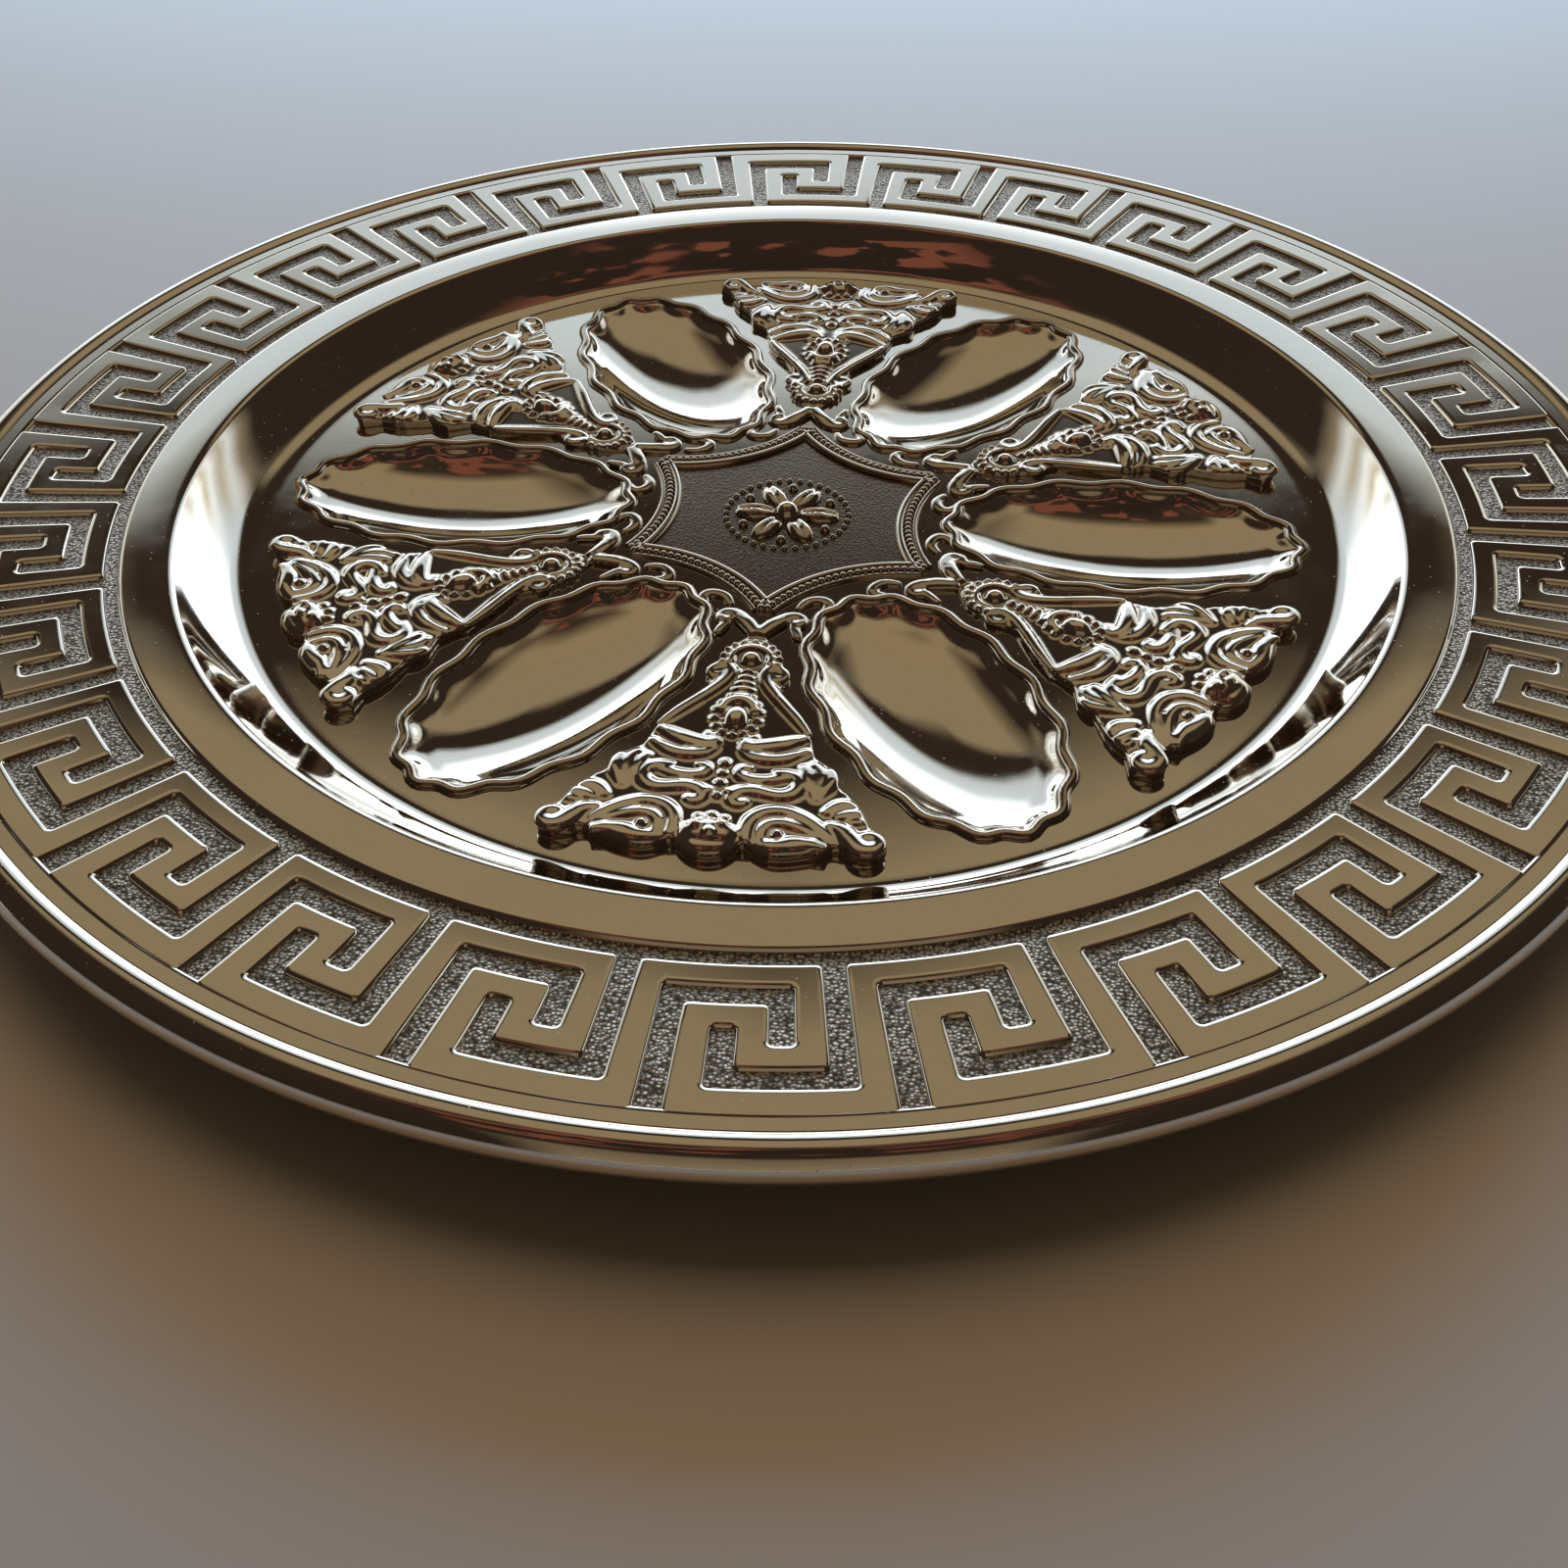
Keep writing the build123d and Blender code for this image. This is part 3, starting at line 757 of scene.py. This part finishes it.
# %% Beads of the bowls
BEAD_RADIUS = 1.25
lobed_oval("bead", 1.0, 1.0, WELL_RIPPLE, FLOOR_LEVEL)
bpy.ops.object.convert(target="CURVE")
bead = bpy.context.object
bead.data.bevel_depth = BEAD_RADIUS * MM
bead.data.bevel_resolution = 4
bpy.ops.object.convert(target="MESH")
bead = bpy.context.object
edit_all(bead)
bpy.ops.transform.resize(value=(1, 1, 0.8), center_override=(0, 0, FLOOR_TOP))
bpy.ops.mesh.remove_doubles(threshold=0.001 * MM)
bpy.ops.mesh.normals_make_consistent(inside=False)
bpy.ops.object.mode_set(mode="OBJECT")
bead.data.materials.append(relief)
beads = [bead] + [turned_copy(bead, f"well_bead_{k + 1}", k * STEP) for k in range(1, 6)]
bead.name = "well_bead_1"
for k, piece in enumerate(beads):
    hand_over(piece, f"well_rim_{k + 1}", 60)
print("bead faces:", len(bead.data.polygons))

# %% [markdown]
# ## The star's rope border
# The star is edged by a row of small beads between two smooth ridges, as on milled wire. One side of the star is
# modelled, with its ridges and its beads, and spun into six by the spin operator's duplicate option.


# %% One side of the star
def side_points(shift, count):
    """Points along one bowed side, moved outwards by a shift in mm, from tip to tip."""
    radius = BOW_RADIUS - shift
    half = math.asin(tip.y / BOW_RADIUS)
    angles = [math.pi - half + 2 * half * k / (count - 1) for k in range(count)]
    return [(BOW_CENTRE + radius * math.cos(a), radius * math.sin(a)) for a in angles]


def tube(name, lines):
    """A mesh made from curves: each line is a list of (x, y, z, radius) in mm, and the radius swells the tube."""
    curve = bpy.data.curves.new(name, "CURVE")
    curve.dimensions = "3D"
    curve.resolution_u = 5
    curve.bevel_depth = MM
    curve.bevel_resolution = 3
    curve.use_fill_caps = True
    for line in lines:
        spline = curve.splines.new("NURBS")
        spline.points.add(len(line) - 1)
        for point, (x, y, z, radius) in zip(spline.points, line):
            point.co = (x * MM, y * MM, z * MM, 1)
            point.radius = radius
        spline.use_endpoint_u = True
        spline.order_u = 3
    piece = bpy.data.objects.new(name, curve)
    bpy.context.scene.collection.objects.link(piece)
    only(piece)
    bpy.ops.object.convert(target="MESH")
    return bpy.context.object


RIDGES = ((-0.9, 0.9), (2.0, 0.6))  # how far outwards, and how thick
RIDGE_POINTS = 24
STAR_BEADS, STAR_BEAD_SHIFT, STAR_BEAD_RADIUS = 23, 0.7, 0.85
RIDGE_LEVEL, STAR_BEAD_LEVEL = FLOOR_LEVEL + 0.1, FLOOR_LEVEL + 0.3
ridges = [[(x, y, RIDGE_LEVEL, radius) for x, y in side_points(shift, RIDGE_POINTS)] for shift, radius in RIDGES]
small = [tube("star_rope", ridges)]
for x, y in side_points(STAR_BEAD_SHIFT, STAR_BEADS):
    deselect()
    bpy.ops.mesh.primitive_uv_sphere_add(segments=8, ring_count=6, radius=STAR_BEAD_RADIUS * MM,
                                         location=(x * MM, y * MM, STAR_BEAD_LEVEL * MM))
    bpy.ops.object.transform_apply(location=True, rotation=True, scale=True)
    small.append(bpy.context.object)
rope = join(small, "star_rope")
edit_all(rope)
bpy.ops.mesh.spin(steps=5, angle=5 * STEP, center=(0, 0, 0), axis=(0, 0, 1), dupli=True)
bpy.ops.mesh.select_all(action="SELECT")
bpy.ops.mesh.normals_make_consistent(inside=False)
bpy.ops.object.mode_set(mode="OBJECT")
rope.data.materials.append(relief)
hand_over(rope, "star_frame", 60)
print("star border faces:", len(rope.data.polygons))

# %% [markdown]
# ## The rosette
# A plain six-petalled rosette fills the star. One petal is half a squashed ball with a hollow pressed along it, and
# six of them stand round a domed boss inside a ring of fine beads.

# %% Rosette
deselect()
bpy.ops.mesh.primitive_uv_sphere_add(segments=20, ring_count=12, radius=MM, location=(0, 0, 0))
petal = bpy.context.object
edit_all(petal)
bpy.ops.transform.resize(value=(4.4, 2.5, 1.5))
bpy.ops.transform.translate(value=(6.4 * MM, 0, FLOOR_TOP))
pick(petal, "VERT", lambda co, v: co.z > FLOOR_TOP and abs(co.y) < 0.5 * MM)
bpy.ops.transform.translate(value=(0, 0, -0.5 * MM))
edit_all(petal)
bpy.ops.mesh.spin(steps=5, angle=5 * STEP, center=(0, 0, 0), axis=(0, 0, 1), dupli=True)
bpy.ops.object.mode_set(mode="OBJECT")
parts = [petal]
# the boss, a ball between every two petals, and the ring: how many, how far out, and how large
ROSETTE_BALLS = ((1, 0, 2.6), (6, 9.4, 1.0), (36, 12.2, 0.6))
for count, away, size in ROSETTE_BALLS:
    for k in range(count):
        deselect()
        spot = Vector((away * MM, 0, FLOOR_TOP + 0.1 * MM))
        spot.rotate(Matrix.Rotation(2 * math.pi * (k + 0.5) / count, 3, "Z"))
        bpy.ops.mesh.primitive_uv_sphere_add(segments=8 if count > 6 else 20, ring_count=6 if count > 6 else 12,
                                             radius=size * MM, location=spot)
        bpy.ops.object.transform_apply(location=True, rotation=True, scale=True)
        parts.append(bpy.context.object)
rosette = join(parts, "rosette")
rosette.data.materials.append(relief)
hand_over(rosette, "centre_rosette", 60)
print("rosette faces:", len(rosette.data.polygons))

# %% [markdown]
# ## The fans of scrollwork
# Between the bowls the sheet is struck into fans of rococo scrolls: curls, wings, leaves, a beaded fan, a cabochon
# and a shell on a scalloped base. Carving them from a block would lose their flow, so each scroll is a curve whose
# radius swells and tapers along it. One half is drawn and mirrored. All of it is then joined to a base, and a voxel
# remesh and a little smoothing melt the pieces into one another, as metal pressed in a die does.
# Points are (across, along, radius) in mm, along from the plate's centre.

# %% The scrolls of one half
SCROLLS = {
    "curl": [(0.3, 41, 0.9), (1.9, 38, 1.2), (4.4, 35, 1.2), (6.6, 34.2, 1), (7.7, 35.6, 0.9), (7, 37.4, 0.8),
             (5.6, 37, 0.7)],
    "lobe": [(5.9, 37.6, 0.6), (7.2, 39.4, 0.9), (7.4, 41.6, 0.5)],
    "bud": [(6.4, 32.2, 0.6), (7, 29.9, 0.8), (8.8, 28.6, 0.9), (11, 28.6, 0.9), (12, 29.8, 0.8),
            (11.3, 31.8, 0.7), (9.6, 35, 0.4)],
    "strap": [(5.5, 52.7, 0.5), (4.7, 52.2, 0.5), (4.6, 53.6, 0.55), (5.9, 54.3, 0.6), (7, 53, 0.65), (6, 51.2, 0.7),
              (4, 50.7, 0.75), (2.9, 52.2, 0.8), (3.4, 54.8, 0.8), (5.2, 57.8, 0.8), (8, 61.7, 0.8),
              (10.7, 65.2, 0.8), (13, 69, 0.5)],
    "upper wing": [(4.4, 70.4, 0.5), (3, 71, 0.6), (2.4, 72.4, 0.8), (4.2, 73.5, 1.1), (7.6, 72.6, 1.2),
                   (10.8, 70.9, 0.9), (13, 69.4, 0.4)],
    "lower wing": [(1.9, 73.4, 0.4), (2.8, 75, 0.7), (5, 76.1, 0.9), (8, 76.2, 0.9), (11, 75, 0.8),
                   (13.4, 72.8, 0.4)],
    "row": [(4.6, 78.8, 0.5), (3.2, 78.6, 0.6), (2.5, 79.9, 0.7), (3.6, 81.4, 0.8), (6, 81.9, 0.8), (9.2, 80.9, 0.7),
            (12, 79.7, 0.5)],
    "wave": [(8.4, 79.6, 0.6), (11.1, 79.3, 0.8), (13, 81.2, 0.9), (12.7, 83.7, 0.9), (10.8, 85.2, 0.9),
             (8.4, 84.9, 0.8), (5.7, 84.2, 0.9), (3.1, 84.8, 0.9), (2.3, 86.7, 0.8), (3.3, 88.1, 0.7),
             (4.9, 87.5, 0.6), (4.4, 86.5, 0.5)],
    "spray 1": [(16, 85.4, 0.4), (15, 81.5, 0.9), (13.6, 78.2, 0.8), (12.8, 77, 0.5)],
    "spray 2": [(16, 85.4, 0.4), (16.3, 81, 0.9), (15.8, 77.4, 0.8), (14.2, 76.2, 0.5)],
    "spray 3": [(16, 85.4, 0.4), (17.6, 82, 0.9), (18.2, 79, 0.8), (17.4, 77.4, 0.5)],
    "leaf 1": [(17.6, 88.6, 0.5), (19.2, 86.6, 0.9), (21.4, 85.6, 0.8), (22.6, 86.8, 0.5)],
    "leaf 2": [(19.4, 89.4, 0.5), (21.4, 88, 0.9), (23.6, 88, 0.7)],
    "leaf 3": [(21.6, 90.2, 0.4), (23.4, 89.6, 0.7), (24.2, 89.6, 0.5)],
    "outer paisley": [(6.2, 96.6, 0.6), (5.6, 93.6, 0.8), (6.4, 90.8, 0.9), (8.6, 89, 0.9), (11.6, 88.7, 0.9),
                      (14.8, 90, 0.8), (17.6, 92.2, 0.7), (19.4, 94.2, 0.4)],
    "inner paisley": [(8.4, 96.2, 0.5), (8, 93.8, 0.7), (9.4, 91.8, 0.8), (12, 91.5, 0.8), (15.2, 92.6, 0.7),
                      (18.4, 94.6, 0.4)],
    "paisley foot": [(9.4, 97.4, 0.4), (11.6, 96.4, 0.8), (15.2, 95.6, 0.9), (19, 96.6, 0.5)],
    "corner": [(18.4, 91, 0.5), (21, 91.6, 1), (22.6, 94.2, 1.1), (24.4, 96.5, 1.1), (26.6, 96, 1), (27.2, 94, 0.9),
               (25.6, 92.7, 0.8), (24, 93.6, 0.7), (24.6, 95, 0.6)],
}
BASE_LOW, BASE_HIGH = 0.3, 2.2
TIP_ALONG, END_ALONG = 34.0, 100.0
SCROLL_LIFT, SCROLL_SWELL, SCROLL_FLATTEN = 0.15, 1.6, 0.5
BARE_ALONG, BARE_LIFT = 36.0, 0.1  # nearer to the star the curls lie on the bare floor
LOBE_LEVEL = FLOOR_LEVEL + 0.7


def base_height(along):
    """The thickness of the fan's base in mm, growing from its tip to its foot."""
    way = min(max((along - TIP_ALONG) / (END_ALONG - TIP_ALONG), 0), 1)
    return BASE_LOW + (BASE_HIGH - BASE_LOW) * way


def under_scroll(along):
    return FLOOR_LEVEL + (base_height(along) if along > BARE_ALONG else BARE_LIFT)


def raised(points):
    return [(u, t, under_scroll(u) + SCROLL_LIFT * r, SCROLL_SWELL * r) for t, u, r in points]


half_scrolls = tube("scroll_half", [raised(points) for points in SCROLLS.values()])
for vertex in half_scrolls.data.vertices:
    ground = under_scroll(vertex.co.x / MM) * MM
    vertex.co.z = ground + (vertex.co.z - ground) * SCROLL_FLATTEN
modify(half_scrolls, "MIRROR", use_axis=(False, True, False), use_mirror_merge=False)
print("scroll faces:", len(half_scrolls.data.polygons))

# %% [markdown]
# The beads, the domes and the ribs on the fan's middle line are balls, stretched where the ornament is long. They
# only need a few faces, since the remesh that follows gives them their final skin.

# %% Beads and domes on the middle line
# each dome: across, along, half its width, half its length, and its height
DOMES = [(0, 48.8, 2.0, 2.0, 1.5), (0, 66.2, 2.4, 3.2, 2.0), (0, 70.5, 0.8, 0.9, 1.0), (0, 78, 0.9, 1.1, 1.0),
         (0, 80.5, 0.8, 0.9, 0.9), (0, 83, 0.9, 1.1, 1.0), (0, 86.2, 0.8, 0.9, 1.0), (1.4, 85, 0.7, 0.7, 0.8),
         (-1.4, 85, 0.7, 0.7, 0.8), (0, 91.2, 0.85, 0.85, 1.0), (2.1, 91.8, 0.85, 0.85, 1.0),
         (-2.1, 91.8, 0.85, 0.85, 1.0), (10.9, 94.4, 1.0, 1.0, 1.2), (-10.9, 94.4, 1.0, 1.0, 1.2),
         (0, 95.2, 4.9, 3.1, 1.6), (2.0, 94.3, 1.4, 1.2, 2.1), (-2.0, 94.9, 1.5, 1.2, 2.2), (0.4, 96.2, 1.4, 1.0, 2.3)]
# eleven beads round the beaded fan, thirteen round the cabochon, and five ribs between the two
for k in range(11):
    ray = math.radians(-15 + 21 * k)
    DOMES.append((5.1 * math.cos(ray), 48.8 - 5.1 * math.sin(ray), 0.85, 0.85, 1.1))
for k in range(13):
    ray = math.radians(-60 + 25 * k)
    DOMES.append((3.7 * math.cos(ray), 65.3 - 5.4 * math.sin(ray), 0.8, 0.8, 1.1))
for along, half in ((52.6, 1.2), (54.4, 1.5), (56.1, 1.8), (57.8, 2.2), (59.6, 2.5)):
    DOMES.append((0, along, half, 0.75, 1.0))
fan_parts = [half_scrolls]
for t, u, half_across, half_along, rise in DOMES:
    deselect()
    bpy.ops.mesh.primitive_uv_sphere_add(segments=16, ring_count=10, radius=MM, scale=(half_along, half_across, rise),
                                         location=(u * MM, t * MM, FLOOR_TOP + base_height(u) * MM))
    bpy.ops.object.transform_apply(location=True, rotation=True, scale=True)
    fan_parts.append(bpy.context.object)
arch = [(2.9, 64.6, 0.6), (2.4, 62.2, 0.8), (0, 60.9, 0.9), (-2.4, 62.2, 0.8), (-2.9, 64.6, 0.6)]
ring = [(3.6 * math.sin(a), 48.8 - 3.6 * math.cos(a), 0.5) for a in [math.radians(-110 + 20 * k) for k in range(12)]]
fan_parts.append(tube("arches", [raised(line) for line in (arch, ring)]))
FOOT_LOBES = [[(20.6, 93.6, 1.2), (18, 95.2, 1.9), (13.8, 96.6, 2.2), (9.4, 97.3, 2.2), (6.8, 95.8, 1.4)],
              [(-4.6, 95.8, 1.3), (-3, 97.5, 2.1), (0, 98.3, 2.3), (3, 97.5, 2.1), (4.6, 95.8, 1.3)],
              [(21.8, 95.2, 1.3), (24.2, 95.9, 1.6), (26.8, 94.8, 1.6), (27.2, 92.4, 1.2)]]
for lobe in (FOOT_LOBES[0], FOOT_LOBES[2]):
    FOOT_LOBES.append([(-t, u, r) for t, u, r in lobe])
fan_parts.append(tube("foot_lobes", [[(u, t, LOBE_LEVEL, r) for t, u, r in lobe] for lobe in FOOT_LOBES]))
print("fan ornaments:", len(DOMES), "and lobes:", len(FOOT_LOBES))

# %% [markdown]
# The base is the fan's outline drawn as a line of points, filled and extruded up. Its foot is scalloped, and its top
# slopes a little, thicker towards the wall of the dish.

# %% The fan's base, and the melting together
BASE_HALF = [(0, 40.5), (2.2, 42), (4.6, 45.2), (5.7, 48.8), (6.9, 52), (6.6, 55), (6.2, 58), (8.4, 62.4), (11.2, 66.2),
             (13.6, 70), (14.6, 74.4), (18.4, 77.2), (19.2, 81), (22.8, 85.2), (24.4, 88), (25.2, 90.4), (27.4, 92.2),
             (27.4, 94.6), (24, 96), (20, 95.6), (13, 97.4), (8, 97.6), (5.8, 96.8), (3.4, 98), (0, 98.4)]
outline = BASE_HALF + [(-t, u) for t, u in BASE_HALF[-2:0:-1]]
FOOT = FLOOR_TOP - 0.1 * MM
corners = [(u * MM, t * MM, FOOT) for t, u in outline]
base = one_vertex("fan_base", corners[0])
draw_line(corners + corners[:1])
bpy.ops.mesh.select_all(action="SELECT")
bpy.ops.mesh.remove_doubles(threshold=0.001 * MM)
bpy.ops.mesh.edge_face_add()
bpy.ops.mesh.extrude_region_move(TRANSFORM_OT_translate={"value": (0, 0, 0.1 * MM)})
bpy.ops.object.mode_set(mode="OBJECT")
for vertex in base.data.vertices:
    if vertex.co.z > FOOT + 0.05 * MM:
        vertex.co.z = FLOOR_TOP + base_height(vertex.co.x / MM) * MM
edit_all(base)
bpy.ops.mesh.normals_make_consistent(inside=False)
bpy.ops.object.mode_set(mode="OBJECT")
fan = join([base] + fan_parts, "relief_1")
modify(fan, "REMESH", mode="VOXEL", voxel_size=0.3 * MM)
modify(fan, "SMOOTH", factor=0.5, iterations=12)
fan.data.materials.clear()
fan.data.materials.append(relief)
print("fan faces:", len(fan.data.polygons))

# %% [markdown]
# The finished fan is copied to the six places between the bowls, each copy with its own mesh, and the one it was
# modelled on is removed.

# %% Six fans
fans = [turned_copy(fan, f"fan_{k + 1}", STEP / 2 + k * STEP) for k in range(6)]
bpy.data.objects.remove(fan)
for k, piece in enumerate(fans):
    piece.name = f"relief_{k + 1}"
    hand_over(piece, f"scroll_panel_{k + 1}", 80)
print("fans:", [piece.name for piece in fans])

# %% [markdown]
# ## Sizes
# The dressed plate should stay inside the CAD model's box, so its own box is printed, in millimetres.

# %% Write the sizes and finish
low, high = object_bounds()
print("visual box in mm:", [round(v / MM, 1) for v in low], [round(v / MM, 1) for v in high])
